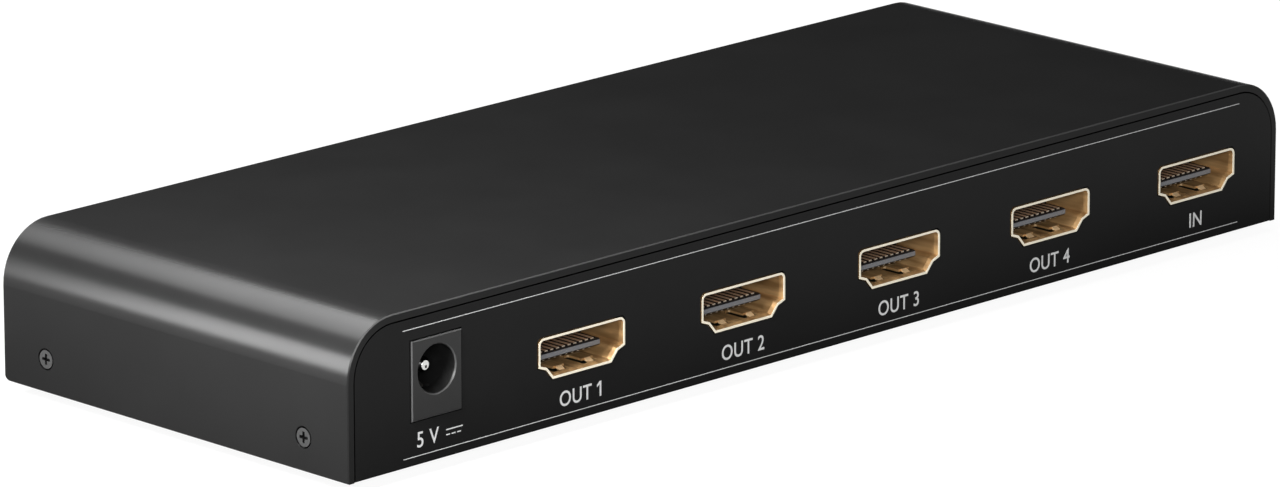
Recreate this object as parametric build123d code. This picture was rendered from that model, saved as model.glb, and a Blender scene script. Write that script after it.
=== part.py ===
from build123d import *
import os

# A video splitter in a bent metal case: one input, four outputs and a barrel power socket.
# All sizes are in millimetres and all angles in degrees.
# x runs along the socket panel, the sockets face -y, and z is 0 at the soles of the feet.

# Case
box_width = 170.0
box_depth = 63.5
box_height = 20.0
sheet = 1.0
corner_radius = 7.5
cover_gap = 0.2
edge_chamfer = 0.15
leg_corner_radius = 0.8
panel_bend_radius = 0.25
panel_inner_radius = 0.5
flange_inner_radius = 0.2
flange_height = 9.0
flange_end_gap = 2.0
overrun = 1.0

# Feet
foot_side = 9.0
foot_height = 1.6
foot_chamfer = 0.4
foot_inset_x = 13.0
foot_inset_y = 9.5

# Countersunk screws in the short sides
side_screw_from_end = 8.0
side_screw_height = 4.33
side_head_radius = 1.2
side_shank_radius = 0.8
side_screw_length = 4.0
side_cross_span = 1.45
side_cross_width = 0.4
side_cross_depth = 0.5
head_ring = 0.25
head_recess = 0.05
head_seat_gap = 0.05
side_hole_gap = 0.1
thread_gap = 0.03

# Video sockets
port_count = 5
port_from_end = 39.66
input_from_end = 16.1
port_height = 8.96
port_proud = 0.1
opening_width = 14.0
opening_height = 4.55
knee_width = 11.9
sole_width = 9.74
shoulder_height = 1.665
knee_height = 1.285
opening_corner_radius = 0.4
shell_sheet = 0.3
shell_length = 11.2
flare = 0.2
flare_length = 0.6
cutout_gap = 0.15
cutout_corner = 0.5
flap_bottom = -0.9
tail_window_gap = 0.1
tail_window_top = -1.3

# Folded legs of a video socket's shell
leg_width = 1.5
leg_from_mouth = 2.9
leg_from_back = 2.3
leg_reach = 0.8
leg_top = -0.7
leg_slot_gap = 0.15

# Spring fingers in a video socket's shell
finger_spacing = 5.0
finger_window_width = 2.9
finger_window_start = 0.9
finger_neck_width = 0.9
finger_neck_run = 0.8
finger_paddle_width = 2.0
finger_paddle_run = 2.3
finger_tip_run = 0.8
finger_tip_gap = 0.4
finger_rise = 0.4
finger_tip_rise = 0.1

# Tongue and contacts of a video socket
tongue_width = 10.9
tongue_recess = 2.4
tongue_top = -0.15
tongue_thickness = 0.9
tongue_chamfer = 0.2
insulator_depth = 2.4
insulator_back_gap = 1.3
insulator_gap = 0.05
upper_contacts = 10
lower_contacts = 9
contact_pitch = 1.0
contact_width_upper = 0.48
contact_width_lower = 0.3
contact_thickness = 0.15
contact_setback = 0.4
contact_drop_gap = 0.5
contact_slot_gap = 0.05

# Power socket
jack_from_end = 14.73
jack_axis_above_board = 5.34
jack_proud = 0.25
jack_face_width = 8.45
jack_face_top = 4.22
jack_face_bottom = 6.02
jack_flange = 1.6
jack_face_chamfer = 0.15
jack_barrel_radius = 3.95
jack_length = 13.5
jack_bore_radius = 3.1
jack_bore_depth = 9.6
jack_bore_chamfer = 0.2
jack_pin_radius = 1.0
jack_pin_recess = 2.1
jack_pin_bevel = 0.4
jack_pin_root_radius = 1.3
jack_pin_gap = 0.02
pin_terminal_thickness = 0.4
pin_terminal_width = 2.4
pin_terminal_top = 1.6
terminal_reach = 0.8
terminal_slot_gap = 0.15

# Sleeve contact of the power socket, along its depth and below its axis
spring_width = 2.0
spring_thickness = 0.25
spring_slot_width = 2.5
spring_slot_start = 2.6
spring_slot_rear_top = -3.5
spring_slot_front_top = -2.0
spring_root = 11.2
spring_root_top = -4.05
spring_crest = 5.2
spring_crest_top = -2.2
spring_shoulder = 6.6
spring_shoulder_top = -2.6
spring_tip = 3.6
spring_tip_top = -3.0
spring_crest_round = 0.8
spring_joint_gap = 0.05
sleeve_terminal_run = 0.65
sleeve_terminal_gap = 0.05

# Circuit board
board_thickness = 1.6
board_end_margin = 7.0
board_front_gap = 0.1
board_back_margin = 3.25
board_hole_gap = 0.2
standoff_across = 5.0
standoff_front_y = 7.75
standoff_back_y = 9.75
standoff_end_x = 13.0
stud_radius = 1.25
stud_above_nut = 0.6
nut_across = 5.0
nut_height = 2.0
recess_taper = 12

# Status lights on the hidden long side
light_count = 5
light_pitch = 12.0
light_axis_height = 3.2
light_width = 3.0
light_height = 1.8
light_length = 8.0
light_foot = 2.2
light_proud = 0.25
light_chamfer = 0.3
light_hole_gap = 0.1

# Parts on the board
chip_side = 14.0
chip_height = 1.2
chip_chamfer = 1.0
thermal_pad_thickness = 0.5
sink_side = 22.0
sink_base = 1.5
sink_height = 7.0
fin_count = 8
fin_thickness = 0.9
control_side = 7.0
control_height = 0.9
control_chamfer = 0.5
memory_chip_length = 6.0
memory_chip_width = 5.0
memory_chip_height = 0.8
memory_chip_chamfer = 0.4
regulator_length = 6.5
regulator_width = 3.5
regulator_height = 1.6
regulator_lift = 0.1
regulator_chamfer = 0.3
regulator_tab_width = 3.0
regulator_leg_width = 0.7
regulator_leg_pitch = 2.3
regulator_legs = 3
regulator_leg_reach = 1.7
regulator_leg_height = 0.9
regulator_leg_thickness = 0.2
inductor_side = 7.0
inductor_height = 3.2
inductor_chamfer = 1.2
can_radius = 3.15
can_height = 5.3
can_chamfer = 0.4
can_base_side = 6.6
can_base_height = 0.8
can_base_chamfer = 1.2
crystal_length = 5.0
crystal_width = 3.2
crystal_height = 1.2
tantalum_length = 7.3
tantalum_width = 4.3
tantalum_height = 2.8
fuse_length = 4.5
fuse_width = 3.2
fuse_height = 1.0
diode_length = 2.5
diode_width = 1.3
diode_height = 0.6
diodes_per_port = 2
diode_spacing = 6.0
diode_behind_port = 3.0
ceramic_length = 2.0
ceramic_width = 1.25
ceramic_height = 0.9
ceramic_spacing = 3.2
ceramics_per_port = 2
ceramic_behind_diode = 3.0

# Places on the board, as shares of its length and width from its middle
splitter_place_shares = (0.0, 0.06)
control_place_shares = (-0.21, 0.1)
crystal_place_shares = (-0.21, 0.29)
memory_place_shares = (0.2, 0.06)
regulator_place_shares = ((-0.34, -0.02), (-0.34, 0.18))
inductor_place_shares = (-0.43, -0.08)
can_place_shares = (-0.43, 0.15)
tantalum_place_shares = ((0.37, 0.0), (0.37, 0.15))
fuse_place_shares = (-0.36, -0.19)

# Worked out from the sizes above
quarter_turn = 90
near = edge_chamfer / 10
flange_bend_radius = flange_inner_radius + sheet
base = foot_height
top = base + box_height
front = -box_depth / 2
back = box_depth / 2
panel_half = box_width / 2 - sheet - cover_gap
panel_top = top - sheet - cover_gap
port_pitch = (box_width - port_from_end - input_from_end) / (port_count - 1)
port_y = front - port_proud
port_z = base + port_height
port_places = [port_from_end + i * port_pitch - box_width / 2 for i in range(port_count)]
port_names = ["output_1", "output_2", "output_3", "output_4", "input"]
jack_x = jack_from_end - box_width / 2
jack_y = front - jack_proud
shell_bottom = -(opening_height / 2 + shell_sheet)
board_top = port_z + shell_bottom
board_bottom = board_top - board_thickness
jack_z = board_top + jack_axis_above_board
board_half = box_width / 2 - board_end_margin
board_front = jack_y + jack_flange + board_front_gap
board_back = back - board_back_margin
board_width = 2 * board_half
board_depth = board_back - board_front
board_middle = (board_front + board_back) / 2
tongue_bottom = tongue_top - tongue_thickness
insulator_end = shell_length - shell_sheet - insulator_back_gap
insulator_start = insulator_end - insulator_depth
contact_drop = insulator_end + contact_drop_gap
leg_starts = [leg_from_mouth, shell_length - leg_from_back - leg_width]
finger_neck_end = finger_window_start + finger_neck_run
finger_crest = finger_neck_end + finger_paddle_run
finger_tip = finger_crest + finger_tip_run
finger_window_end = finger_tip + finger_tip_gap
side_screw_y = box_depth / 2 - side_screw_from_end
side_screw_z = base + side_screw_height
light_y = back + light_proud
light_z = board_top + light_axis_height
light_places = [(i - (light_count - 1) / 2) * light_pitch for i in range(light_count)]
sink_z = board_top + chip_height + thermal_pad_thickness
socket_gaps = [jack_x] + port_places
front_standoff_xs = [(socket_gaps[i] + socket_gaps[i + 1]) / 2 for i in (0, port_count - 1)]
back_standoff_xs = [side * (box_width / 2 - standoff_end_x) for side in (-1, 1)]
standoff_places = [(x, front + standoff_front_y) for x in front_standoff_xs]
standoff_places += [(x, back - standoff_back_y) for x in back_standoff_xs]


def block(x0, x1, y0, y1, z0, z1):
    """A plain block between two opposite corners."""
    middle = Pos((x0 + x1) / 2, (y0 + y1) / 2, (z0 + z1) / 2)
    return middle * Box(x1 - x0, y1 - y0, z1 - z0)


def standing_rod(radius, x, y, z0, z1):
    """A round rod along z."""
    return Pos(x, y, (z0 + z1) / 2) * Cylinder(radius, z1 - z0)


def lying_rod(radius, x, z, y0, y1):
    """A round rod along y."""
    return Pos(x, (y0 + y1) / 2, z) * Rot(X=quarter_turn) * Cylinder(radius, y1 - y0)


def outline(points):
    """A flat face with straight sides."""
    return make_face(Polyline(*points, close=True))


def stand_face(face, y):
    """Stand a face that is drawn in x and z at the depth y."""
    return Plane(origin=(0, y, 0), x_dir=(1, 0, 0), z_dir=(0, -1, 0)) * face


def along_y(face, y0, y1):
    """Thicken a face that is drawn in x and z."""
    return extrude(stand_face(face, y0), amount=y1 - y0, dir=(0, 1, 0))


def along_x(face, x0, x1):
    """Thicken a face that is drawn in y and z."""
    seat = Plane(origin=(x0, 0, 0), x_dir=(0, 1, 0), z_dir=(1, 0, 0))
    return extrude(seat * face, amount=x1 - x0, dir=(1, 0, 0))


def group(solids):
    """Keep like pieces together as separate solids."""
    return Compound([piece for solid in solids for piece in solid.solids()])


def both_sides(shape):
    """A shape and its mirror image across the middle of the box."""
    return [shape, mirror(shape, about=Plane.YZ)]


def arch(half_width, height, radius, foot):
    """Outline of the case seen from the sockets: two rounded corners above a square foot."""
    corners = [(-half_width, foot), (half_width, foot), (half_width, height), (-half_width, height)]
    face = outline(corners)
    return fillet(face.vertices().sort_by(Axis.Y)[-2:], radius)


def cross_recess(span, width, depth):
    """The tapering cross that a driver fits, cut down from z = 0."""
    cross = Rectangle(span, width) + Rectangle(width, span)
    return extrude(cross, amount=depth, dir=(0, 0, -1), taper=recess_taper)


def place_on_board(shares):
    """A place on the board from its shares of the board's length and width."""
    return shares[0] * board_width, board_middle + shares[1] * board_depth


# Case

def countersunk_screw():
    """Small flat head screw along z, with its head flush at z = 0."""
    cone_height = side_head_radius - side_shank_radius
    head = Pos(0, 0, -cone_height / 2) * Cone(side_shank_radius, side_head_radius, cone_height)
    shank = standing_rod(side_shank_radius, 0, 0, -side_screw_length, -cone_height)
    screw = head + shank
    return screw - cross_recess(side_cross_span, side_cross_width, side_cross_depth)


def side_screw_seats():
    """Wide countersinks and clearance holes for the screws of one short side, cut along x."""
    ring_radius = side_head_radius + head_ring
    hole_radius = side_shank_radius + side_hole_gap
    cone_height = head_recess + side_head_radius + head_seat_gap - hole_radius
    outside = box_width / 2
    seats = []
    for y in (-side_screw_y, side_screw_y):
        cone = Rot(Y=quarter_turn) * Cone(hole_radius, ring_radius, cone_height)
        hole = Rot(Y=quarter_turn) * Cylinder(hole_radius, sheet + 2 * overrun)
        seats.append(Pos(outside - cone_height / 2, y, side_screw_z) * cone)
        seats.append(Pos(outside - sheet / 2, y, side_screw_z) * hole)
    return seats


def side_screws():
    """Two screws in each short side, sunk a little below the paint."""
    reach = box_width / 2 - head_recess
    right = [Pos(reach, y, side_screw_z) * Rot(Y=quarter_turn) * countersunk_screw()
             for y in (-side_screw_y, side_screw_y)]
    left = [mirror(screw, about=Plane.YZ) for screw in right]
    return group(right + left)


def top_cover():
    """One sheet bent over the top and both short sides, with bevelled outer edges."""
    outside = along_y(arch(box_width / 2, top, corner_radius, base), front, back)
    inside_face = arch(box_width / 2 - sheet, top - sheet, corner_radius - sheet, base - overrun)
    cover = outside - along_y(inside_face, front - overrun, back + overrun)
    foot_corners = cover.edges().filter_by(Axis.X).sort_by(Axis.Z)[:4].sort_by(Axis.Y)[-2:]
    cover = fillet(foot_corners, leg_corner_radius)
    rims = [edge for edge in cover.edges() if on_outer_rim(edge)]
    cover = chamfer(rims, edge_chamfer)
    for seat in side_screw_seats():
        cover = cover - seat - mirror(seat, about=Plane.YZ)
    return cover


def on_outer_rim(edge):
    """True for an edge round the front or back end of the cover's outer face."""
    middle = edge @ 0.5
    at_end = abs(abs(middle.Y) - box_depth / 2) < edge_chamfer / 2
    if edge.geom_type == GeomType.CIRCLE:
        return at_end and edge.radius > corner_radius - sheet / 2
    side = abs(middle.X) > box_width / 2 - sheet / 4 and edge.length > 2 * sheet
    lid = middle.Z > top - sheet / 4
    return at_end and (side or lid)


def base_tray():
    """Underside, socket panel and light panel in one sheet, with a flange up each short side."""
    panel = arch(panel_half, panel_top, corner_radius - sheet - cover_gap, base)
    floor_half = panel_half - flange_bend_radius
    tray = along_y(panel, front, front + sheet) + along_y(panel, back - sheet, back)
    tray = tray + block(-floor_half, floor_half, front, back, base, base + sheet)
    floor_level = [e for e in tray.edges().filter_by(Axis.X) if abs((e @ 0.5).Z - base - sheet) < near]
    inner = [e for e in floor_level if abs((e @ 0.5).Y) < back - near]
    tray = fillet(inner, panel_inner_radius)
    outer = [e for e in tray.edges().filter_by(Axis.X) if (e @ 0.5).Z < base + near]
    tray = fillet(outer, panel_bend_radius)
    for flange in both_sides(side_flange()):
        tray = tray + flange
    for cutter in panel_cutters() + tapped_holes():
        tray = tray - cutter
    return tray


def side_flange():
    """The bent up flange that the side screws bite into, on the right."""
    inside = panel_half - sheet
    root = panel_half - flange_bend_radius - sheet
    face = outline([(root, base), (panel_half, base), (panel_half, base + flange_height),
                    (inside, base + flange_height), (inside, base + sheet), (root, base + sheet)])
    outer = [v for v in face.vertices() if v.X > inside + near and v.Y < base + near]
    face = fillet(outer, flange_bend_radius)
    inner = [v for v in face.vertices() if abs(v.X - inside) < near and v.Y < base + sheet + near]
    face = fillet(inner, flange_inner_radius)
    start = front + sheet + flange_end_gap
    return along_y(face, start, -start)


def panel_cutters():
    """Cut-outs of the socket panel and the light panel."""
    window = sharp_socket_profile(flare + shell_sheet + cutout_gap)
    window = chamfer(window.vertices().sort_by(Axis.Y)[-2:], cutout_corner)
    cutter = along_y(window, front - overrun, front + sheet + overrun)
    cutters = [Pos(x, 0, port_z) * cutter for x in port_places]
    half = jack_face_width / 2 + cutout_gap
    low = jack_z - jack_face_bottom - cutout_gap
    high = jack_z + jack_face_top + cutout_gap
    cutters.append(block(jack_x - half, jack_x + half, front - overrun, front + sheet + overrun, low, high))
    half = light_width / 2 + light_hole_gap
    low = light_z - light_height / 2 - light_hole_gap
    high = light_z + light_height / 2 + light_hole_gap
    for x in light_places:
        cutters.append(block(x - half, x + half, back - sheet - overrun, back + overrun, low, high))
    return cutters


def tapped_holes():
    """Holes in the side flanges for the side screws."""
    holes = []
    for y in (-side_screw_y, side_screw_y):
        rod = Rot(Y=quarter_turn) * Cylinder(side_shank_radius + thread_gap, sheet + 2 * overrun)
        holes += both_sides(Pos(panel_half - sheet / 2, y, side_screw_z) * rod)
    return holes


def rubber_feet():
    """Four stick-on feet under the tray."""
    x = box_width / 2 - foot_inset_x
    y = box_depth / 2 - foot_inset_y
    half = foot_side / 2
    foot = block(-half, half, -half, half, 0, foot_height)
    foot = chamfer(foot.faces().sort_by(Axis.Z)[0].edges(), foot_chamfer)
    return group([Pos(i, j, 0) * foot for i in (-x, x) for j in (-y, y)])


# Circuit board and what holds it

def six_sided_bar(across, z0, z1):
    """An upright bar with six flats, measured across two opposite flats."""
    return Pos(0, 0, z0) * extrude(RegularPolygon(across / 2, 6, major_radius=False), amount=z1 - z0)


def standoff():
    """Six sided standoff that is welded to the tray, with a stud up through the board."""
    stud_top = board_top + nut_height + stud_above_nut
    body = six_sided_bar(standoff_across, base + sheet, board_bottom)
    return body + standing_rod(stud_radius, 0, 0, board_bottom, stud_top)


def board_nut():
    """Nut on a stud, seated on the board."""
    nut_top = board_top + nut_height
    bore = standing_rod(stud_radius + thread_gap, 0, 0, board_top - overrun, nut_top + overrun)
    return six_sided_bar(nut_across, board_top, nut_top) - bore


def circuit_board():
    """The board, with its stud holes and the slots for legs and terminals."""
    board = block(-board_half, board_half, board_front, board_back, board_bottom, board_top)
    low = board_bottom - overrun
    high = board_top + overrun
    for x, y in standoff_places:
        board = board - standing_rod(stud_radius + board_hole_gap, x, y, low, high)
    for x0, x1, y0, y1 in leg_slots() + terminal_slots():
        board = board - block(x0, x1, y0, y1, low, high)
    return board


def leg_slots():
    """Slots for the four folded legs of each video socket."""
    slots = []
    inside = opening_width / 2 - leg_slot_gap
    outside = opening_width / 2 + shell_sheet + leg_slot_gap
    for x in port_places:
        for start in leg_starts:
            y0 = port_y + start - leg_slot_gap
            y1 = port_y + start + leg_width + leg_slot_gap
            slots.append((x - outside, x - inside, y0, y1))
            slots.append((x + inside, x + outside, y0, y1))
    return slots


def terminal_slots():
    """Slots for the two terminals of the power socket."""
    pin_half = pin_terminal_width / 2 + terminal_slot_gap
    pin_y = jack_y + jack_length
    sleeve_half = spring_width / 2 + terminal_slot_gap
    sleeve_y = jack_y + spring_root + spring_joint_gap + sleeve_terminal_run
    return [(jack_x - pin_half, jack_x + pin_half,
             pin_y - terminal_slot_gap, pin_y + pin_terminal_thickness + terminal_slot_gap),
            (jack_x - sleeve_half, jack_x + sleeve_half,
             sleeve_y - spring_thickness - terminal_slot_gap, sleeve_y + terminal_slot_gap)]


# Video sockets, drawn round the middle of the opening, with y = 0 at the mouth

def sharp_socket_profile(grow):
    """Outline of a video socket's opening, wide side up, grown outwards all round."""
    half = opening_width / 2
    high = opening_height / 2
    right = [(half, high), (half, shoulder_height - high), (knee_width / 2, knee_height - high),
             (sole_width / 2, -high)]
    left = [(-x, z) for x, z in reversed(right)]
    face = outline(right + left)
    return offset(face, amount=grow, kind=Kind.INTERSECTION) if grow else face


def socket_profile(grow):
    """The same outline with its two upper corners rounded."""
    face = sharp_socket_profile(grow)
    return fillet(face.vertices().sort_by(Axis.Y)[-2:], opening_corner_radius + grow)


def flared_body(grow, length):
    """A socket shaped bar that widens towards the mouth."""
    mouth = stand_face(socket_profile(grow + flare), 0)
    neck = stand_face(socket_profile(grow), flare_length)
    return loft([mouth, neck], ruled=True) + along_y(socket_profile(grow), flare_length, length)


def finger_strip(half_width, crest):
    """Side view of a stretch of a spring finger, thickened to its width."""
    under = [(y, z - shell_sheet) for y, z in reversed(crest)]
    return along_x(outline(crest + under), -half_width, half_width)


def spring_finger():
    """A steep narrow neck at the mouth, then a wide level paddle with its tip bent back down."""
    neck = [(finger_window_start, 0), (finger_neck_end, finger_rise)]
    paddle = [(finger_neck_end, finger_rise), (finger_crest, finger_rise), (finger_tip, finger_tip_rise)]
    return finger_strip(finger_neck_width / 2, neck) + finger_strip(finger_paddle_width / 2, paddle)


def socket_shell():
    """Stamped shell with a flared mouth, spring fingers, a rear flap and four folded legs."""
    shell = flared_body(shell_sheet, shell_length) - flared_body(0, shell_length)
    high = opening_height / 2
    window_half = finger_window_width / 2
    for side in (-1, 1):
        x = side * finger_spacing / 2
        window = block(x - window_half, x + window_half, finger_window_start, finger_window_end,
                       -high - shell_sheet - overrun / 2, -high + overrun / 2)
        finger = Pos(x, 0, -high) * spring_finger()
        shell = shell - window + finger
    tail_window = block(-knee_width / 2, knee_width / 2, insulator_end + tail_window_gap,
                        shell_length + overrun, shell_bottom - overrun, tail_window_top)
    shell = shell - tail_window
    flap = along_y(socket_profile(0), shell_length - shell_sheet, shell_length)
    below_flap = block(-opening_width, opening_width, 0, shell_length + overrun,
                       -opening_height, flap_bottom)
    flap = flap - below_flap
    shell = shell + flap
    leg_bottom = shell_bottom - board_thickness - leg_reach
    inside = opening_width / 2
    for start in leg_starts:
        leg = block(inside, inside + shell_sheet, start, start + leg_width, leg_bottom, leg_top)
        for piece in both_sides(leg):
            shell = shell + piece
    return shell


def socket_insulator():
    """Plastic block with the tongue, and a slot for each of the two rows of contacts."""
    body = along_y(socket_profile(-insulator_gap), insulator_start, insulator_end)
    tongue = block(-tongue_width / 2, tongue_width / 2, tongue_recess, insulator_end,
                   tongue_bottom, tongue_top)
    lip = [e for e in tongue.edges().filter_by(Axis.X) if (e @ 0.5).Y < tongue_recess + near]
    half = upper_contacts * contact_pitch / 2
    depth = contact_thickness + contact_slot_gap
    slots = block(-half, half, insulator_start - overrun, insulator_end + overrun,
                  tongue_bottom - depth, tongue_top + depth)
    return body - slots + chamfer(lip, tongue_chamfer)


def row_places(count):
    """Places of a row of contacts across the socket."""
    return [(i - (count - 1) / 2) * contact_pitch for i in range(count)]


def bent_contact(width, face, side):
    """One contact: flat on the tongue's face, above or below it, then down to the board."""
    start = tongue_recess + contact_setback
    drop = contact_drop + contact_thickness
    floor, ceiling = sorted((face, face + side * contact_thickness))
    side_view = [(start, floor), (start, ceiling), (drop, ceiling), (drop, shell_bottom),
                 (contact_drop, shell_bottom), (contact_drop, floor)]
    return along_x(outline(side_view), -width / 2, width / 2)


def socket_contacts():
    """Nineteen bent contacts in two rows."""
    upper = bent_contact(contact_width_upper, tongue_top, 1)
    lower = bent_contact(contact_width_lower, tongue_bottom, -1)
    contacts = [Pos(x, 0, 0) * upper for x in row_places(upper_contacts)]
    contacts += [Pos(x, 0, 0) * lower for x in row_places(lower_contacts)]
    return group(contacts)


# Power socket, drawn round the middle of its bore, with y = 0 at its face

def jack_housing():
    """Moulded housing: square face, round topped barrel, bore and the slot for the spring."""
    half = jack_face_width / 2
    face = block(-half, half, 0, jack_flange, -jack_face_bottom, jack_face_top)
    rim = [e for e in face.edges() if (e @ 0.5).Y < near]
    face = chamfer(rim, jack_face_chamfer)
    barrel = lying_rod(jack_barrel_radius, 0, 0, jack_flange, jack_length)
    low = -jack_axis_above_board
    saddle = block(-jack_barrel_radius, jack_barrel_radius, jack_flange, jack_length, low, 0)
    housing = face + barrel + saddle
    housing = housing - lying_rod(jack_bore_radius, 0, 0, -overrun, jack_bore_depth)
    mouth = [e for e in housing.edges().filter_by(GeomType.CIRCLE) if (e @ 0).Y < near]
    housing = chamfer(mouth, jack_bore_chamfer)
    housing = housing - lying_rod(jack_pin_root_radius + jack_pin_gap, 0, 0, 0, jack_length + overrun)
    slot_half = spring_slot_width / 2
    slot_end = spring_root + spring_joint_gap + sleeve_terminal_run + sleeve_terminal_gap
    under = low - overrun
    start = spring_slot_start
    front_slot = block(-slot_half, slot_half, start, jack_bore_depth, under, spring_slot_front_top)
    rear_slot = block(-slot_half, slot_half, start, slot_end, under, spring_slot_rear_top)
    return housing - front_slot - rear_slot


def jack_pin():
    """Centre pin with a bevelled nose and a thicker root in the housing."""
    pin = lying_rod(jack_pin_radius, 0, 0, jack_pin_recess, jack_length)
    nose = pin.edges().filter_by(GeomType.CIRCLE).sort_by(Axis.Y)[:1]
    pin = chamfer(nose, jack_pin_bevel)
    return pin + lying_rod(jack_pin_root_radius, 0, 0, jack_bore_depth, jack_length)


def jack_pin_terminal():
    """Flat terminal behind the housing, welded to the pin and soldered through the board."""
    half = pin_terminal_width / 2
    low = -jack_axis_above_board - board_thickness - terminal_reach
    return block(-half, half, jack_length, jack_length + pin_terminal_thickness, low, pin_terminal_top)


def jack_sleeve_spring():
    """Bent leaf that presses on the plug's sleeve, hinged at its root."""
    crest = [(spring_root, spring_root_top), (spring_shoulder, spring_shoulder_top),
             (spring_crest, spring_crest_top), (spring_tip, spring_tip_top)]
    under = [(y, z - spring_thickness) for y, z in reversed(crest)]
    face = outline(crest + under)
    bends = [v for v in face.vertices() if abs(v.X - spring_crest) < near]
    face = fillet(bends, spring_crest_round)
    return along_x(face, -spring_width / 2, spring_width / 2)


def jack_sleeve_terminal():
    """Fixed end of the sleeve contact: a short run and a tail through the board."""
    start = spring_root + spring_joint_gap
    end = start + sleeve_terminal_run
    low = -jack_axis_above_board - board_thickness - terminal_reach
    under = spring_root_top - spring_thickness
    side_view = [(start, spring_root_top), (end, spring_root_top), (end, low), (end - spring_thickness, low),
                 (end - spring_thickness, under), (start, under)]
    return along_x(outline(side_view), -spring_width / 2, spring_width / 2)


# Status lights

def status_light():
    """Light guide: a foot on the board, an elbow that turns the light, and a bar out of the light panel."""
    inner = light_y - light_length
    low = light_z - light_height / 2
    high = light_z + light_height / 2
    side_view = [(inner, board_top), (inner + light_foot, board_top), (inner + light_foot, low),
                 (light_y, low), (light_y, high), (inner + light_foot, high), (inner, low)]
    guide = along_x(outline(side_view), -light_width / 2, light_width / 2)
    return chamfer(guide.faces().sort_by(Axis.Y)[-1].edges(), light_chamfer)


# Parts on the board

def chip_body(side_x, side_y, height, corner, lift):
    """Moulded chip with one corner cut back to mark its first pin."""
    bottom = board_top + lift
    body = block(-side_x / 2, side_x / 2, -side_y / 2, side_y / 2, bottom, bottom + height)
    mark = body.edges().filter_by(Axis.Z).sort_by(Axis.X)[:2].sort_by(Axis.Y)[-1:]
    return chamfer(mark, corner)


def bent_leg(reach, height, thickness, width):
    """Gull wing leg along y, from a chip's side at y = 0 out and down to the board."""
    step = reach / 2
    z = board_top
    side_view = [(0, z + height), (step, z + height), (step, z + thickness), (reach, z + thickness),
                 (reach, z), (step - thickness, z), (step - thickness, z + height - thickness),
                 (0, z + height - thickness)]
    return along_x(outline(side_view), -width / 2, width / 2)


def memory_chip():
    """Small flat chip with its pads underneath."""
    return chip_body(memory_chip_length, memory_chip_width, memory_chip_height, memory_chip_chamfer, 0)


def regulator():
    """Body of one voltage regulator."""
    return chip_body(regulator_length, regulator_width, regulator_height, regulator_chamfer,
                     regulator_lift)


def regulator_tab_and_legs():
    """Wide tab on one side of a regulator and three legs on the other."""
    side = regulator_width / 2
    tab = Pos(0, side, 0) * bent_leg(regulator_leg_reach, regulator_leg_height, regulator_leg_thickness,
                                     regulator_tab_width)
    legs = [tab]
    for i in range(regulator_legs):
        x = (i - (regulator_legs - 1) / 2) * regulator_leg_pitch
        leg = Pos(x, side, 0) * bent_leg(regulator_leg_reach, regulator_leg_height, regulator_leg_thickness,
                                         regulator_leg_width)
        legs.append(mirror(leg, about=Plane.XZ))
    return legs


def heat_sink():
    """Extruded sink: a base plate with upright fins along y."""
    half = sink_side / 2
    sink = block(-half, half, -half, half, sink_z, sink_z + sink_base)
    step = (sink_side - fin_thickness) / (fin_count - 1)
    for i in range(fin_count):
        x = -half + i * step
        sink = sink + block(x, x + fin_thickness, -half, half, sink_z, sink_z + sink_height)
    return sink


def smoothing_can():
    """Aluminium can with a bevelled top, turned round z."""
    half_section = outline([(0, 0), (can_radius, 0), (can_radius, can_height - can_chamfer),
                            (can_radius - can_chamfer, can_height), (0, can_height)])
    return Pos(0, 0, board_top + can_base_height) * revolve(Plane.XZ * half_section, Axis.Z)


def can_base():
    """Square plastic foot of a can, with two corners cut back."""
    half = can_base_side / 2
    foot = block(-half, half, -half, half, board_top, board_top + can_base_height)
    marks = foot.edges().filter_by(Axis.Z).sort_by(Axis.X)[-2:]
    return chamfer(marks, can_base_chamfer)


def inductor():
    """Shielded coil in a square case with its corners cut back."""
    half = inductor_side / 2
    body = block(-half, half, -half, half, board_top, board_top + inductor_height)
    return chamfer(body.edges().filter_by(Axis.Z), inductor_chamfer)


def crystal():
    """Flat metal lidded case."""
    x = crystal_length / 2
    y = crystal_width / 2
    return block(-x, x, -y, y, board_top, board_top + crystal_height)


def tantalum_capacitor():
    """Moulded block capacitor."""
    x = tantalum_length / 2
    y = tantalum_width / 2
    return block(-x, x, -y, y, board_top, board_top + tantalum_height)


def fuse():
    """Flat fuse in the power line."""
    half = fuse_length / 2
    return block(-half, half, -fuse_width / 2, fuse_width / 2, board_top, board_top + fuse_height)


def at_places(shape, shares_list):
    """Copies of a shape at places on the board."""
    return [Pos(*place_on_board(shares), 0) * shape for shares in shares_list]


def behind_ports(length, width, height, spacing, count, y):
    """Rows of small blocks on the board, centred behind each video socket."""
    small = block(-length / 2, length / 2, -width / 2, width / 2, board_top, board_top + height)
    offsets = [(i - (count - 1) / 2) * spacing for i in range(count)]
    return [Pos(x + offset, y, 0) * small for x in port_places for offset in offsets]


# Put everything in place and write one file for each sub-part

nodes = {
    "top_cover": top_cover(),
    "base_tray": base_tray(),
    "side_screws": side_screws(),
    "rubber_feet": rubber_feet(),
    "board_standoffs": group([Pos(x, y, 0) * standoff() for x, y in standoff_places]),
    "board_nuts": group([Pos(x, y, 0) * board_nut() for x, y in standoff_places]),
    "circuit_board": circuit_board(),
}

shell = socket_shell()
insulator = socket_insulator()
contacts = socket_contacts()
for name, x in zip(port_names, port_places):
    seat = Pos(x, port_y, port_z)
    nodes[name + "_shell"] = seat * shell
    nodes[name + "_insulator"] = seat * insulator
    nodes[name + "_contacts"] = seat * contacts

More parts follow.
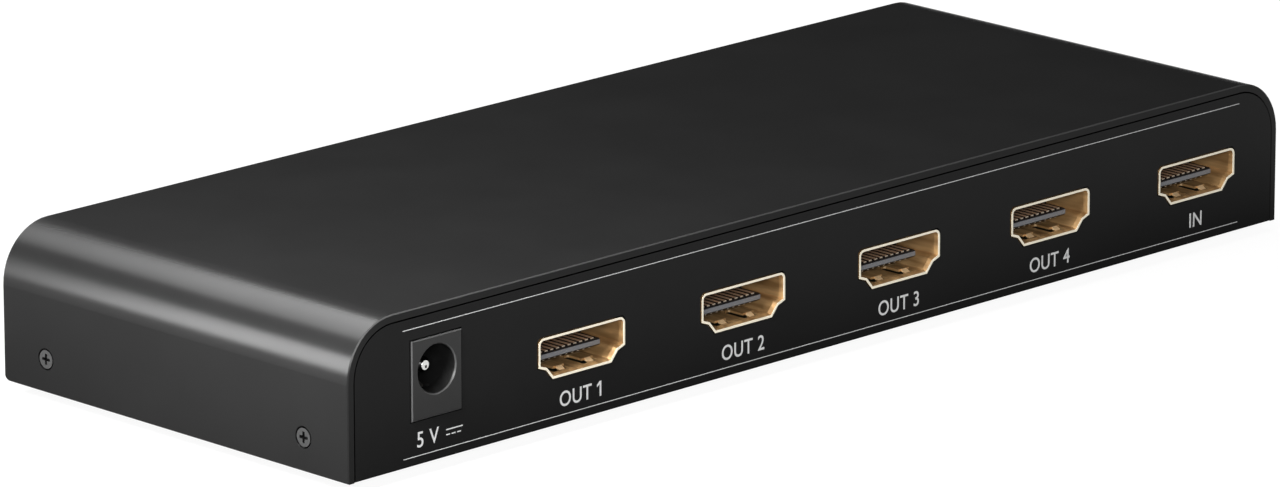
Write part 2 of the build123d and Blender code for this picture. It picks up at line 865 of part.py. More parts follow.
jack_seat = Pos(jack_x, jack_y, jack_z)
nodes["power_jack_housing"] = jack_seat * jack_housing()
nodes["power_jack_pin"] = jack_seat * jack_pin()
nodes["power_jack_pin_terminal"] = jack_seat * jack_pin_terminal()
nodes["power_jack_sleeve_spring"] = jack_seat * jack_sleeve_spring()
nodes["power_jack_sleeve_terminal"] = jack_seat * jack_sleeve_terminal()

lamps = [Pos(x, 0, 0) * status_light() for x in light_places]
nodes["power_light"] = lamps[0]
nodes["signal_lights"] = group(lamps[1:])

splitter_seat = Pos(*place_on_board(splitter_place_shares), 0)
pad_bottom = board_top + chip_height
pad = block(-chip_side / 2, chip_side / 2, -chip_side / 2, chip_side / 2, pad_bottom, sink_z)
nodes["splitter_chip"] = splitter_seat * chip_body(chip_side, chip_side, chip_height, chip_chamfer, 0)
nodes["thermal_pad"] = splitter_seat * pad
nodes["heat_sink"] = splitter_seat * heat_sink()

control_seat = Pos(*place_on_board(control_place_shares), 0)
control_body = chip_body(control_side, control_side, control_height, control_chamfer, 0)
memory_seat = Pos(*place_on_board(memory_place_shares), 0)
nodes["control_chip"] = control_seat * control_body
nodes["memory_chip"] = memory_seat * memory_chip()
nodes["crystal"] = Pos(*place_on_board(crystal_place_shares), 0) * crystal()

regulator_metal = [leg for one in regulator_tab_and_legs() for leg in at_places(one, regulator_place_shares)]
nodes["regulators"] = group(at_places(regulator(), regulator_place_shares))
nodes["regulator_legs"] = group(regulator_metal)
nodes["inductor"] = Pos(*place_on_board(inductor_place_shares), 0) * inductor()
nodes["smoothing_can"] = Pos(*place_on_board(can_place_shares), 0) * smoothing_can()
nodes["smoothing_can_base"] = Pos(*place_on_board(can_place_shares), 0) * can_base()
nodes["tantalum_capacitors"] = group(at_places(tantalum_capacitor(), tantalum_place_shares))

diode_y = port_y + shell_length + diode_behind_port
ceramic_y = diode_y + ceramic_behind_diode
diodes = behind_ports(diode_length, diode_width, diode_height, diode_spacing, diodes_per_port, diode_y)
ceramics = behind_ports(ceramic_width, ceramic_length, ceramic_height, ceramic_spacing,
                        ceramics_per_port, ceramic_y)
nodes["fuse"] = Pos(*place_on_board(fuse_place_shares), 0) * fuse()
nodes["protection_diodes"] = group(diodes)
nodes["ceramic_capacitors"] = group(ceramics)

os.makedirs("parts", exist_ok=True)
for name, shape in nodes.items():
    export_step(shape, "parts/" + name + ".step")
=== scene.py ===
from math import radians
from types import SimpleNamespace

import bmesh
import bpy
from mathutils import Matrix, Vector


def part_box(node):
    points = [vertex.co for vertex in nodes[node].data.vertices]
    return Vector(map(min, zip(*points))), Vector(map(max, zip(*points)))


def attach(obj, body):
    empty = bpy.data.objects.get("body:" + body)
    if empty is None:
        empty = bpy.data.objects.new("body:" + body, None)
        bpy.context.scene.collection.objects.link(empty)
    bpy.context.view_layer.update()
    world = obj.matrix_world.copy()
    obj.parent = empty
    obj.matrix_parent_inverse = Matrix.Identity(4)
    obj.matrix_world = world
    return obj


# Looks of a video splitter: black powder coated case, gold flashed sockets and white screen print.
# Lengths are written in millimetres and multiplied by MM. The socket panel faces -y.

MM = 0.001
PORTS = ("output_1", "output_2", "output_3", "output_4", "input")

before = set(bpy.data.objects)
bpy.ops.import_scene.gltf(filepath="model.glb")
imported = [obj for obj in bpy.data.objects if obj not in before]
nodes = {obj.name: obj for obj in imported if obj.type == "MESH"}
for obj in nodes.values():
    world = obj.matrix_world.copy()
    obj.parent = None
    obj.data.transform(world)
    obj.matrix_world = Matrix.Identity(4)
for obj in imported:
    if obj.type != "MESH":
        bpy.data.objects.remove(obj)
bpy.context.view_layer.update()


# Camera, fitted to the corners of the case and of the sockets in the photograph

LENS = 252.04
SENSOR_WIDTH = 36.0
CAMERA_PLACE = Vector((-791.78, -793.03, 323.63)) * MM
CAMERA_AZIMUTH = radians(-44.826)
CAMERA_ELEVATION = radians(15.690)
CAMERA_ROLL = radians(-0.061)
NEAREST_SEEN = 50
FARTHEST_SEEN = 20000


def add_camera():
    """Long lens from the front left and a little above."""
    data = bpy.data.cameras.new("camera")
    data.lens = LENS
    data.sensor_fit = "HORIZONTAL"
    data.sensor_width = SENSOR_WIDTH
    data.clip_start = NEAREST_SEEN * MM
    data.clip_end = FARTHEST_SEEN * MM
    camera = bpy.data.objects.new("camera", data)
    bpy.context.scene.collection.objects.link(camera)
    swing = Matrix.Rotation(CAMERA_AZIMUTH, 4, "Z")
    tilt = Matrix.Rotation(radians(90) - CAMERA_ELEVATION, 4, "X")
    turn = swing @ tilt @ Matrix.Rotation(CAMERA_ROLL, 4, "Z")
    camera.matrix_world = Matrix.Translation(CAMERA_PLACE) @ turn
    bpy.context.scene.camera = camera


# Places on the pieces, read from the frame

SOCKET_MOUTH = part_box("output_1_shell")[0].y / MM
TONGUE_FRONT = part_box("output_1_insulator")[0].y / MM
CONTACT_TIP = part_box("output_1_contacts")[0].y / MM
PIN_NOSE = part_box("power_jack_pin")[0].y / MM
PIN_X = (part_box("power_jack_pin")[0].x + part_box("power_jack_pin")[1].x) / 2 / MM
PIN_Z = (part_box("power_jack_pin")[0].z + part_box("power_jack_pin")[1].z) / 2 / MM
JACK_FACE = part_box("power_jack_housing")[0].y / MM
COVER_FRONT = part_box("top_cover")[0].y / MM
COVER_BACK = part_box("top_cover")[1].y / MM
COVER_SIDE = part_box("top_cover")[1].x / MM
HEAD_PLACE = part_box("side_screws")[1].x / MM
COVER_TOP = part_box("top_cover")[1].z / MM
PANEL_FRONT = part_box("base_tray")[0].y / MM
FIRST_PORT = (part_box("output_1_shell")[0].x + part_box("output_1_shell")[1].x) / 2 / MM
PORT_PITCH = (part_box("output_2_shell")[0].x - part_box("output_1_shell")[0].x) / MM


# Sizes on the case: the lid's bevels with their painted highlight, the joint behind the panels and the
# side screws' countersinks with their painted shade, and the side screws

COVER_BEVEL = 0.15
COVER_SKIN = 0.03
LID_DEPTH = 3.0
PAST_LID = 1.0
JOINT_FROM_FACE = 0.04
JOINT_DEPTH = 1.0
JOINT_FADE = 0.02
SCREW_Y = 23.75
SCREW_Z = 5.93
SCREW_RING = 1.6
HEAD_SKIN = 0.02


# Sizes in the sockets: the floor of a shell, its spring fingers, the contacts and the power pin

SOCKET_FLOOR = 8.285
FINGER_TOP = 0.42
FINGER_NECK = (0.95, 1.65)
FINGER_CREST = (3.9, 4.3)
NECK_BOTTOM = 0.04
CREST_BOTTOM = 0.1
FINGER_REACH = 3.7
CONTACT_TOP = 10.56
CONTACT_SKIN = 0.05
JACK_BEVEL = 0.15
JACK_BEVEL_START = 0.02
PIN_SPECK = 0.14
PIN_SPECK_FADE = 0.08
PIN_SPECK_X = PIN_X + 0.1
PIN_SPECK_Z = PIN_Z - 0.22


# How far a tone fades at the end of its band, and how far it starts ahead of a front face

SOFT_EDGE = 0.03
SHARP_EDGE = 0.01
FACE_LEAD = 0.1


# Middle part of a noise texture that carries the drift of a tone, and that of the roughness

TONE_NOISE = (0.35, 0.65)
ROUGHNESS_NOISE = (0.3, 0.7)


# Materials

def colour(text):
    """Linear colour of an sRGB hex value."""
    parts = [int(text[i:i + 2], 16) / 255 for i in (1, 3, 5)]
    return [c / 12.92 if c <= 0.04045 else ((c + 0.055) / 1.055) ** 2.4 for c in parts] + [1.0]


def add(tree, kind, inputs=(), **settings):
    """Add a node with its settings, then fill its sockets with values or links."""
    node = tree.nodes.new(kind)
    for key, value in settings.items():
        setattr(node, key, value)
    for socket, value in dict(inputs).items():
        if isinstance(value, bpy.types.NodeSocket):
            tree.links.new(value, node.inputs[socket])
        else:
            node.inputs[socket].default_value = value
    return node


def new_finish(name, fixed):
    """A material with its tree, its principled shader and the place on the piece that patterns follow."""
    material = bpy.data.materials.new(name)
    material.use_nodes = True
    tree = material.node_tree
    tree.nodes.clear()
    shader = add(tree, "ShaderNodeBsdfPrincipled", fixed)
    add(tree, "ShaderNodeOutputMaterial", {"Surface": shader.outputs["BSDF"]})
    place = add(tree, "ShaderNodeTexCoord").outputs["Object"]
    return SimpleNamespace(material=material, tree=tree, shader=shader, place=place)


def per_metre(size):
    """Texture scale for a pattern of that size."""
    return 1 / (size * MM)


def vary_colour(finish, low, high, size, place=None):
    """Let the base colour drift between two close tones, in patches of that size."""
    noise = add(finish.tree, "ShaderNodeTexNoise", {"Vector": place or finish.place,
                                                    "Scale": per_metre(size), "Detail": 3})
    ramp = add(finish.tree, "ShaderNodeValToRGB", {"Fac": noise.outputs["Fac"]})
    for element, position, tone in zip(ramp.color_ramp.elements, TONE_NOISE, (low, high)):
        element.position = position
        element.color = colour(tone)
    finish.tree.links.new(ramp.outputs["Color"], finish.shader.inputs["Base Color"])


def roughen(finish, low, high, size, place=None):
    """Let the roughness drift between two values, in patches of that size."""
    noise = add(finish.tree, "ShaderNodeTexNoise", {"Vector": place or finish.place,
                                                    "Scale": per_metre(size), "Detail": 4})
    start, end = ROUGHNESS_NOISE
    spread = add(finish.tree, "ShaderNodeMapRange", {"Value": noise.outputs["Fac"], "From Min": start,
                                                     "From Max": end, "To Min": low, "To Max": high})
    finish.tree.links.new(spread.outputs["Result"], finish.shader.inputs["Roughness"])


def emboss(finish, height, depth):
    """Turn a height pattern into relief of that depth."""
    bump = add(finish.tree, "ShaderNodeBump", {"Height": height, "Distance": depth * MM})
    finish.tree.links.new(bump.outputs["Normal"], finish.shader.inputs["Normal"])


def grain(finish, size, depth, place=None):
    """Fine random relief of that size and depth."""
    noise = add(finish.tree, "ShaderNodeTexNoise", {"Vector": place or finish.place,
                                                    "Scale": per_metre(size), "Detail": 2})
    emboss(finish, noise.outputs["Fac"], depth)


def band(finish, axis, start, end, fade=SOFT_EDGE, within=1.0):
    """Factor that has the value within between two places along an axis, and is 0 outside them."""
    along = add(finish.tree, "ShaderNodeSeparateXYZ", {0: finish.place}).outputs[axis]
    rise = add(finish.tree, "ShaderNodeMapRange", {"Value": along, "From Min": (start - fade) * MM,
                                                   "From Max": start * MM, "To Max": within})
    fall = add(finish.tree, "ShaderNodeMapRange", {"Value": along, "From Min": end * MM,
                                                   "From Max": (end + fade) * MM,
                                                   "To Min": rise.outputs["Result"], "To Max": 0.0})
    return fall.outputs["Result"]


def front_face(finish, y, depth):
    """Factor that is 1 on the face that a piece turns to the front, and that deep behind it."""
    return band(finish, "Y", y - FACE_LEAD, y + depth)


def tint_where(finish, factor, tone):
    """Lay one tone over the base colour where the factor is 1."""
    base = finish.shader.inputs["Base Color"]
    mixed = add(finish.tree, "ShaderNodeMix", {"Factor": factor, "A": base.links[0].from_socket},
                data_type="RGBA")
    mixed.inputs["B"].default_value = colour(tone)
    finish.tree.links.new(mixed.outputs["Result"], base)


def powder_coated_steel(name, low, high):
    """Satin black powder coat over bent sheet: a fine even grain and broad soft highlights."""
    finish = new_finish(name, {"Specular IOR Level": 0.08})
    vary_colour(finish, low, high, size=14)
    roughen(finish, 0.255, 0.265, size=12)
    # the real grain is near 0.1 mm; it is drawn at 0.3 mm so that it shows
    grain(finish, size=0.3, depth=0.0012)
    return finish


def coated_cover():
    """The cover's coat has a painted highlight on the bevels of its lid and painted black shade round the
    sunk screws.
    """
    finish = powder_coated_steel("powder_coated_steel_cover", "#1d1d1d", "#1f1f1f")
    lid = band(finish, "Z", COVER_TOP - LID_DEPTH, COVER_TOP + PAST_LID, LID_DEPTH)
    # painted highlight along the lid's front and back bevels
    for start in (COVER_FRONT + SHARP_EDGE, COVER_BACK - COVER_BEVEL):
        bevel = band(finish, "Y", start, start + COVER_BEVEL - SHARP_EDGE, SHARP_EDGE, lid)
        tint_where(finish, bevel, "#3e3e3e")
    # painted shade: black in the countersinks round the side screws
    inside = band(finish, "X", COVER_SKIN - COVER_SIDE, COVER_SIDE - COVER_SKIN, SHARP_EDGE)
    level = band(finish, "Z", SCREW_Z - SCREW_RING, SCREW_Z + SCREW_RING, within=inside)
    for y in (-SCREW_Y, SCREW_Y):
        painted_screw_shade = band(finish, "Y", y - SCREW_RING, y + SCREW_RING, within=level)
        tint_where(finish, painted_screw_shade, "#020202")
    return finish.material


def coated_tray():
    """The tray is the same coat as the cover, painted darker as shade, and painted black as shade in the
    joint and cut-outs just behind the faces of its two panels.
    """
    # painted shade: the same coat as the cover, in darker tones
    finish = powder_coated_steel("powder_coated_steel_tray", "#161616", "#181818")
    # painted shade: black in the joint and the cut-out walls just behind each panel's face
    painted_shade_joints = ((PANEL_FRONT + JOINT_FROM_FACE, PANEL_FRONT + JOINT_DEPTH),
              (-PANEL_FRONT - JOINT_DEPTH, -PANEL_FRONT - JOINT_FROM_FACE))
    for start, end in painted_shade_joints:
        tint_where(finish, band(finish, "Y", start, end, JOINT_FADE), "#020202")
    return finish.material


def blackened_steel():
    """Black oxide screws, with the oxide rubbed off the flat of the head by the driver."""
    finish = new_finish("blackened_steel", {"Metallic": 0.7})
    vary_colour(finish, "#101010", "#181818", size=0.5)
    roughen(finish, 0.4, 0.5, size=0.4)
    grain(finish, size=0.15, depth=0.004)
    for x in (-HEAD_PLACE, HEAD_PLACE):
        tint_where(finish, band(finish, "X", x - HEAD_SKIN, x + HEAD_SKIN, SHARP_EDGE), "#404040")
    return finish.material


def zinc_plated_steel():
    """Dull zinc on small pressed screws, with a faint drift in tone."""
    finish = new_finish("zinc_plated_steel", {"Metallic": 1.0})
    vary_colour(finish, "#4c4c4e", "#5c5c5e", size=0.5)
    roughen(finish, 0.38, 0.5, size=0.4)
    grain(finish, size=0.15, depth=0.004)
    return finish.material


def under_tongues(finish):
    """Factor that is 1 over the middle of every socket, where its spring fingers are."""
    tree = finish.tree
    x = add(tree, "ShaderNodeSeparateXYZ", {0: finish.place}).outputs["X"]
    x = add(tree, "ShaderNodeMath", {0: x, 1: FIRST_PORT * MM}, operation="SUBTRACT").outputs["Value"]
    half = PORT_PITCH / 2 * MM
    x = add(tree, "ShaderNodeMath", {0: x, 1: half, 2: -half}, operation="WRAP").outputs["Value"]
    near = add(tree, "ShaderNodeMath", {0: x, 1: 0.0, 2: FINGER_REACH * MM}, operation="COMPARE")
    return near.outputs["Value"]


def gold_flashed_nickel():
    """Thin gold over bright nickel on stamped sheet: streaked along the draw, painted near white on the
    cut edge of the mouth as a highlight.

    The spring fingers have a painted highlight on their necks and crests."""
    finish = new_finish("gold_flashed_nickel", {})
    drawn = add(finish.tree, "ShaderNodeMapping", {"Vector": finish.place, "Scale": (1, 0.12, 1)})
    vary_colour(finish, "#916f46", "#c8a16f", size=1.2, place=drawn.outputs["Vector"])
    roughen(finish, 0.36, 0.46, size=0.8)
    grain(finish, size=0.25, depth=0.003, place=drawn.outputs["Vector"])
    # painted highlight: the cut edge of the mouth is painted near white and made less metal
    edge = front_face(finish, SOCKET_MOUTH, depth=0.02)
    tint_where(finish, edge, "#fff6e0")
    # painted highlight on the necks and crests of the spring fingers
    fingers = under_tongues(finish)
    for (start, end), bottom in ((FINGER_NECK, NECK_BOTTOM), (FINGER_CREST, CREST_BOTTOM)):
        rubbed = band(finish, "Y", SOCKET_MOUTH + start, SOCKET_MOUTH + end, within=fingers)
        rubbed = band(finish, "Z", SOCKET_FLOOR + bottom, SOCKET_FLOOR + FINGER_TOP, within=rubbed)
        tint_where(finish, rubbed, "#fcd9a8")
    metal = add(finish.tree, "ShaderNodeMapRange", {"Value": edge, "To Min": 0.45, "To Max": 0.0})
    finish.tree.links.new(metal.outputs["Result"], finish.shader.inputs["Metallic"])
    return finish.material


def gold_flashed_bronze():
    """Contacts cut from bronze strip: dark on the sheared sides, gold on the face, with a painted
    highlight at the tip.
    """
    finish = new_finish("gold_flashed_bronze", {"Metallic": 0.4})
    vary_colour(finish, "#31231a", "#3b2a1f", size=0.6)
    roughen(finish, 0.3, 0.42, size=0.4)
    top = band(finish, "Z", CONTACT_TOP - SHARP_EDGE, CONTACT_TOP + CONTACT_SKIN, SHARP_EDGE)
    tint_where(finish, top, "#e2bd9c")
    # painted highlight on the front tips of the contacts
    tint_where(finish, front_face(finish, CONTACT_TIP, depth=CONTACT_SKIN), "#c8b8a4")
    return finish.material


def bright_nickel():
    """Turned pin with nickel plating: a painted highlight on its front end with one dark spot painted in
    it as a reflection, and painted shade along its side.
    """
    finish = new_finish("bright_nickel", {"Metallic": 1.0})
    # painted shade: the nickel side of the pin is painted near black
    vary_colour(finish, "#222222", "#2a2a2a", size=0.8)
    roughen(finish, 0.2, 0.28, size=0.4)
    # painted highlight: the front end of the pin is painted near white
    painted_nose_highlight = front_face(finish, PIN_NOSE, depth=0.01)
    tint_where(finish, painted_nose_highlight, "#e6e6e4")
    # painted reflection: a small dark spot on the front end, off the centre
    painted_spot_reflection = band(finish, "X", PIN_SPECK_X - PIN_SPECK, PIN_SPECK_X + PIN_SPECK, PIN_SPECK_FADE, painted_nose_highlight)
    painted_spot_reflection = band(finish, "Z", PIN_SPECK_Z - PIN_SPECK, PIN_SPECK_Z + PIN_SPECK, PIN_SPECK_FADE, painted_spot_reflection)
    tint_where(finish, painted_spot_reflection, "#3a3a3a")
    return finish.material


def tinned_bronze():
    """Spring strip and leads with matt tin plating."""
    finish = new_finish("tinned_bronze", {"Metallic": 1.0})
    vary_colour(finish, "#b4b3ae", "#c8c7c2", size=0.8)
    roughen(finish, 0.32, 0.45, size=0.5)
    return finish.material


def drawn_aluminium():
    """Bare aluminium can, bright and slightly cloudy from drawing."""
    finish = new_finish("drawn_aluminium", {"Metallic": 1.0})
    vary_colour(finish, "#c2c3c5", "#d4d5d6", size=1.2)
    roughen(finish, 0.25, 0.38, size=0.8)
    return finish.material


def anodised_aluminium():
    """Black anodised extrusion, dull, with lines along the fins."""
    finish = new_finish("anodised_aluminium", {"Metallic": 1.0})
    drawn = add(finish.tree, "ShaderNodeMapping", {"Vector": finish.place, "Scale": (1, 0.05, 1)})
    vary_colour(finish, "#2c2c2e", "#3c3c3f", size=0.3, place=drawn.outputs["Vector"])
    roughen(finish, 0.4, 0.55, size=0.3, place=drawn.outputs["Vector"])
    return finish.material


def moulded_plastic(name, low, high, roughness, size):
    """Moulded plastic with the fine spark grain of its tool."""
    finish = new_finish(name, {"Specular IOR Level": 0.4})
    vary_colour(finish, low, high, size=2)
    roughen(finish, roughness - 0.05, roughness + 0.05, size=1)
    grain(finish, size, depth=size / 20)
    return finish.material


def moulded_nylon():
    """Black nylon with spark grain, painted pale on the tongue's front edge as a highlight."""
    finish = new_finish("moulded_nylon", {"Specular IOR Level": 0.4})
    vary_colour(finish, "#141416", "#1c1c1f", size=2)
    roughen(finish, 0.4, 0.5, size=1)
    grain(finish, size=0.2, depth=0.01)
    # painted highlight on the front edge of the tongue
    tint_where(finish, front_face(finish, TONGUE_FRONT, depth=0.03), "#7a7c80")
    return finish.material


def moulded_polyester():
    """Black polyester with a satin face, a black bore and light catching on its bevels."""
    finish = new_finish("moulded_black_polyester", {"Specular IOR Level": 0.4})
    vary_colour(finish, "#161616", "#1a1a1a", size=2)
    roughen(finish, 0.3, 0.38, size=1)
    grain(finish, size=0.25, depth=0.008)
    bevel = band(finish, "Y", JACK_FACE + JACK_BEVEL_START, JACK_FACE + JACK_BEVEL, SHARP_EDGE)
    tint_where(finish, bevel, "#484848")
    return finish.material


def glass_epoxy_board():
    """Dark green solder mask over a woven glass board."""
    finish = new_finish("glass_epoxy_board", {"Specular IOR Level": 0.5, "Coat Weight": 0.3,
                                              "Coat Roughness": 0.2})
    vary_colour(finish, "#0b1510", "#101d16", size=6)
    weave = add(finish.tree, "ShaderNodeTexChecker", {"Vector": finish.place, "Scale": per_metre(0.5)})
    emboss(finish, weave.outputs["Fac"], depth=0.01)
    roughen(finish, 0.32, 0.4, size=2)
    return finish.material


def tinted_resin(name, low, high):
    """Cast epoxy lamp body, clear and tinted right through."""
    finish = new_finish(name, {"IOR": 1.5, "Transmission Weight": 0.5, "Coat Weight": 0.4,
                               "Coat Roughness": 0.08})
    vary_colour(finish, low, high, size=1.5)
    roughen(finish, 0.16, 0.24, size=0.8)
    return finish.material


def screen_ink():
    """White screen print, matt and a little uneven at its edges."""
    finish = new_finish("screen_printed_ink", {"Specular IOR Level": 0.3})
    vary_colour(finish, "#d0d0d0", "#dadada", size=0.4)
    roughen(finish, 0.5, 0.6, size=0.5)
    return finish.material


def dress(material, *names):
    """Give the CAD nodes of those names one material."""
    for name in names:
        nodes[name].material_slots[0].material = material


def dress_nodes():
    """Every CAD node gets the finish of the real piece."""
    zinc = zinc_plated_steel()
    tin = tinned_bronze()
    dress(coated_cover(), "top_cover")
    dress(coated_tray(), "base_tray")
    dress(blackened_steel(), "side_screws")
    dress(zinc, "board_nuts", "board_standoffs")
    dress(gold_flashed_nickel(), *[port + "_shell" for port in PORTS])
    dress(gold_flashed_bronze(), *[port + "_contacts" for port in PORTS])
    dress(moulded_nylon(), *[port + "_insulator" for port in PORTS])
    dress(moulded_polyester(), "power_jack_housing")
    dress(bright_nickel(), "power_jack_pin")
    dress(tin, "power_jack_pin_terminal", "power_jack_sleeve_spring", "power_jack_sleeve_terminal",
          "regulator_legs")
    dress(moulded_plastic("moulded_rubber", "#1c1c1c", "#242424", 0.7, size=0.4), "rubber_feet")
    dress(glass_epoxy_board(), "circuit_board")
    dress(tinted_resin("red_tinted_resin", "#a01410", "#b82018"), "power_light")
    dress(tinted_resin("green_tinted_resin", "#148a2a", "#20a038"), "signal_lights")
    dress(moulded_plastic("moulded_epoxy_black", "#1a1a1c", "#232325", 0.5, size=0.15),
          "splitter_chip", "control_chip", "memory_chip", "regulators", "protection_diodes",
          "smoothing_can_base")
    dress(moulded_plastic("moulded_epoxy_orange", "#a8660c", "#b87418", 0.45, size=0.15),
          "tantalum_capacitors")
    dress(moulded_plastic("silicone_pad", "#8c98a8", "#9aa6b4", 0.7, size=0.3), "thermal_pad")
    dress(moulded_plastic("pressed_ferrite", "#38383a", "#464649", 0.55, size=0.2), "inductor")
    dress(moulded_plastic("fired_ceramic", "#9a8460", "#ac9670", 0.4, size=0.1), "ceramic_capacitors")
    dress(moulded_plastic("coated_fuse_body", "#1f5a2c", "#2a6a38", 0.4, size=0.1), "fuse")
    dress(anodised_aluminium(), "heat_sink")
    dress(drawn_aluminium(), "smoothing_can", "crystal")


# Screen print on the socket panel, placed from the panel's lower left corner

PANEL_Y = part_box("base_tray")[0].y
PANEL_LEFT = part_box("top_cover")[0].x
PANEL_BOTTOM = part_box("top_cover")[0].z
INK_THICKNESS = 0.015
LINE_LEFT = 9.2
LINE_RIGHT = 162.3
LINE_WIDTH = 0.085
UPPER_LINE_HEIGHT = 17.5
LOWER_LINE_HEIGHT = 1.2
BAR_END_SHARE = 0.4
BAR_END_STEPS = 3
LETTER_HEIGHT = 1.95
LETTER_BASE = 2.25
LETTER_GAP_SHARE = 1.06
LETTER_WIDTH_SHARE = 0.92
LETTER_SWELL_SHARE = 0.006
LETTER_STEPS = 6
SAME_PLACE_SHARE = 1e-5
STRAIGHT_WITHIN = radians(1)
POWER_LABEL_LEFT = 11.4
SIGN_LEFT = 16.4
SIGN_RIGHT = 19.2
SIGN_BAR_HEIGHT = 3.5
SIGN_DASH_HEIGHT = 2.85
SIGN_DASHES = 3
SIGN_DASH_SHARE = 0.7
SIGN_WIDTH = 0.15
FLAG_REACH_SHARE = 0.26
FLAG_DROP_SHARE = 0.22
FLAG_END_SHARE = 1.7


def at_origin(piece):
    """Put a finished piece's place into its mesh."""
    bpy.ops.object.select_all(action="DESELECT")
    piece.select_set(True)
    bpy.context.view_layer.objects.active = piece
    bpy.ops.object.transform_apply(location=True, rotation=True, scale=True)


def thicken():
    """Give the flat print in edit mode the ink's thickness, with its faces outwards."""
    bpy.ops.mesh.select_all(action="SELECT")
    bpy.ops.mesh.extrude_region_move(TRANSFORM_OT_translate={"value": (0, 0, INK_THICKNESS * MM)})
    bpy.ops.mesh.select_all(action="SELECT")
    bpy.ops.mesh.normals_make_consistent(inside=False)
    bpy.ops.object.mode_set(mode="OBJECT")


def on_panel(piece, material):
    """Stand a print that was drawn in x and y on the socket panel."""
    at_origin(piece)
    piece.matrix_world = (Matrix.Translation((PANEL_LEFT, PANEL_Y, PANEL_BOTTOM))
                          @ Matrix.Rotation(radians(90), 4, "X"))
    at_origin(piece)
    piece.data.materials.clear()
    piece.data.materials.append(material)
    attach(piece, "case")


def printed_bar(name, left, right, height, width, material):
    """A printed line of that width between two places, with rounded ends."""
    bpy.ops.object.select_all(action="DESELECT")
    bpy.ops.mesh.primitive_plane_add(size=1, location=((left + right) / 2 * MM, height * MM, 0))
    bar = bpy.context.object
    bar.name = name
    bar.scale = ((right - left) * MM, width * MM, 1)
    at_origin(bar)
    bpy.ops.object.mode_set(mode="EDIT")
    bpy.ops.mesh.select_all(action="SELECT")
    bpy.ops.mesh.bevel(offset=width * BAR_END_SHARE * MM, segments=BAR_END_STEPS, affect="VERTICES")
    thicken()
    on_panel(bar, material)


def add_flag(mesh, top):
    """Give the plain figure one at the end of a label the short flag of a drawn one."""
    figure = bmesh.new()
    figure.from_mesh(mesh)
    reach = FLAG_REACH_SHARE * top
    drop = FLAG_DROP_SHARE * top
    right = max(v.co.x for v in figure.verts)
    stem = min(v.co.x for v in figure.verts if v.co.x > right - reach)
    corners = [(stem, top), (stem - reach, top - drop), (stem - reach, top - FLAG_END_SHARE * drop),
               (stem, top - drop)]
    figure.faces.new([figure.verts.new((x, y, 0)) for x, y in corners])
    figure.to_mesh(mesh)
    figure.free()


def printed_words(name, words, x, align, material):
    """A printed label with its letters' feet on the common base line."""
    bpy.ops.object.select_all(action="DESELECT")
    bpy.ops.object.text_add()
    label = bpy.context.object
    label.name = name
    label.data.body = words
    label.data.align_x = align
    label.data.size = 1.0
    label.data.space_character = LETTER_GAP_SHARE
    label.data.offset = LETTER_SWELL_SHARE
    label.data.resolution_u = LETTER_STEPS
    bpy.ops.object.convert(target="MESH")
    bpy.ops.object.shade_flat()
    label = bpy.context.object
    letters = bmesh.new()
    letters.from_mesh(label.data)
    bmesh.ops.remove_doubles(letters, verts=letters.verts, dist=SAME_PLACE_SHARE)
    bmesh.ops.dissolve_limit(letters, angle_limit=STRAIGHT_WITHIN, verts=letters.verts,
                             edges=letters.edges)
    letters.to_mesh(label.data)
    letters.free()
    top = max(v.co.y for v in label.data.vertices)
    if words.endswith("1"):
        add_flag(label.data, top)
    scale = LETTER_HEIGHT * MM / top
    label.scale = (scale * LETTER_WIDTH_SHARE, scale, 1)
    label.location = (x * MM, LETTER_BASE * MM, 0)
    at_origin(label)
    bpy.ops.object.mode_set(mode="EDIT")
    thicken()
    on_panel(label, material)


def add_print():
    """Two long lines, a plain label under each socket, and the direct current sign."""
    ink = screen_ink()
    printed_bar("upper_line", LINE_LEFT, LINE_RIGHT, UPPER_LINE_HEIGHT, LINE_WIDTH, ink)
    printed_bar("lower_line", LINE_LEFT, LINE_RIGHT, LOWER_LINE_HEIGHT, LINE_WIDTH, ink)
    for port, words in zip(PORTS, ("OUT 1", "OUT 2", "OUT 3", "OUT 4", "IN")):
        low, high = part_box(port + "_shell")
        printed_words(port + "_label", words, ((low.x + high.x) / 2 - PANEL_LEFT) / MM, "CENTER", ink)
    printed_words("power_label", "5 V", POWER_LABEL_LEFT, "LEFT", ink)
    printed_bar("direct_current_bar", SIGN_LEFT, SIGN_RIGHT, SIGN_BAR_HEIGHT, SIGN_WIDTH, ink)
    pitch = (SIGN_RIGHT - SIGN_LEFT) / SIGN_DASHES
    for i in range(SIGN_DASHES):
        left = SIGN_LEFT + i * pitch
        printed_bar("direct_current_dash_" + str(i + 1), left, left + SIGN_DASH_SHARE * pitch,
                    SIGN_DASH_HEIGHT, SIGN_WIDTH, ink)


# Floor and light

FLOOR_SIZE = 16000
FLOOR_GLOW = 0.93
CONTACT_SHADE_REACH = 40
ROOM_LIGHT = 0.015


def contact_shade(tree, full):
    """Factor that rises from 0 at the case's foot print outwards to full, for what the case mirrors."""
    place = add(tree, "ShaderNodeSeparateXYZ", {0: add(tree, "ShaderNodeTexCoord").outputs["Object"]})
    beyond = []
    for axis, edge in (("X", COVER_SIDE), ("Y", COVER_BACK)):
        away = add(tree, "ShaderNodeMath", {0: place.outputs[axis]}, operation="ABSOLUTE")
        past = add(tree, "ShaderNodeMath", {0: away.outputs["Value"], 1: edge * MM}, operation="SUBTRACT")
        beyond.append(past.outputs["Value"])
    outside = add(tree, "ShaderNodeMath", {0: beyond[0], 1: beyond[1]}, operation="MAXIMUM")
    rise = add(tree, "ShaderNodeMapRange", {"Value": outside.outputs["Value"], "To Max": full,
                                            "From Max": CONTACT_SHADE_REACH * MM})
    return rise.outputs["Result"]


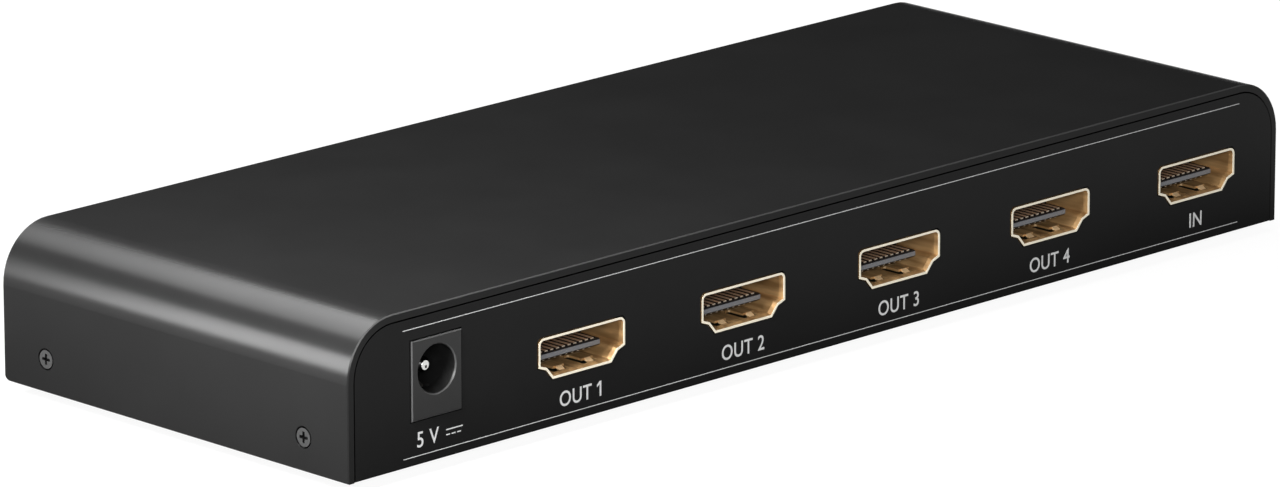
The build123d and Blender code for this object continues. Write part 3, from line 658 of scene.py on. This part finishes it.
def add_floor():
    """Matt white sweep that keeps the object's shadow."""
    bpy.ops.object.select_all(action="DESELECT")
    bpy.ops.mesh.primitive_plane_add(size=FLOOR_SIZE * MM)
    floor = bpy.context.object
    floor.name = "floor"
    material = bpy.data.materials.new("matt_white_floor")
    material.use_nodes = True
    tree = material.node_tree
    tree.nodes.clear()
    paper = add(tree, "ShaderNodeBsdfDiffuse", {"Color": colour("#5a5a5a")})
    glow = add(tree, "ShaderNodeEmission", {"Color": colour("#ffffff"), "Strength": FLOOR_GLOW})
    path = add(tree, "ShaderNodeLightPath")
    seen = path.outputs["Is Camera Ray"]
    for ray in (contact_shade(tree, path.outputs["Is Glossy Ray"]), path.outputs["Is Transmission Ray"]):
        seen = add(tree, "ShaderNodeMath", {0: seen, 1: ray}, operation="MAXIMUM").outputs["Value"]
    none = add(tree, "ShaderNodeEmission", {"Strength": 0.0})
    lift = add(tree, "ShaderNodeMixShader", {"Fac": seen, 1: none.outputs["Emission"],
                                             2: glow.outputs["Emission"]})
    both = add(tree, "ShaderNodeAddShader", {0: paper.outputs["BSDF"], 1: lift.outputs["Shader"]})
    add(tree, "ShaderNodeOutputMaterial", {"Surface": both.outputs["Shader"]})
    floor.data.materials.append(material)


def add_softbox(name, azimuth, elevation, distance, width, height, radiance, target):
    """Rectangular lamp seen from a target at an azimuth from +x and an elevation, both in degrees."""
    data = bpy.data.lights.new(name, "AREA")
    data.shape = "RECTANGLE"
    data.size = width * MM
    data.size_y = height * MM
    data.energy = 4 * data.size * data.size_y * radiance
    lamp = bpy.data.objects.new(name, data)
    bpy.context.scene.collection.objects.link(lamp)
    aim = (Matrix.Rotation(radians(azimuth), 3, "Z") @ Matrix.Rotation(-radians(elevation), 3, "Y")
           @ Vector((1, 0, 0)))
    lamp.location = (Vector(target) + aim * distance) * MM
    lamp.rotation_euler = aim.to_track_quat("Z", "Y").to_euler()
    lamp.visible_camera = False
    return lamp


def add_light():
    """Two softboxes behind draw the bands on the rounded edge, a key lights the left, a fill the sockets.

    The low one is only there to be mirrored, so it leaves the side's own tone alone."""
    card = add_softbox("rear_left_softbox", azimuth=133, elevation=11, distance=250, width=60, height=95,
                       radiance=40, target=(-85, -32, 14))
    card.visible_diffuse = False
    add_softbox("rear_high_softbox", azimuth=85, elevation=47, distance=600, width=420, height=150,
                radiance=14, target=(-85, -32, 20))
    add_softbox("left_key", azimuth=185, elevation=50, distance=140, width=80, height=80,
                radiance=32, target=(-80, -33, 18))
    add_softbox("front_fill", azimuth=228, elevation=18, distance=2000, width=1000, height=600,
                radiance=13.5, target=(0, -30, 12))
    world = bpy.data.worlds.new("room")
    world.use_nodes = True
    world.node_tree.nodes["Background"].inputs["Color"].default_value = colour("#ffffff")
    world.node_tree.nodes["Background"].inputs["Strength"].default_value = ROOM_LIGHT
    bpy.context.scene.world = world
    bpy.context.scene.view_settings.view_transform = "Standard"


add_camera()
dress_nodes()
add_print()
add_floor()
add_light()
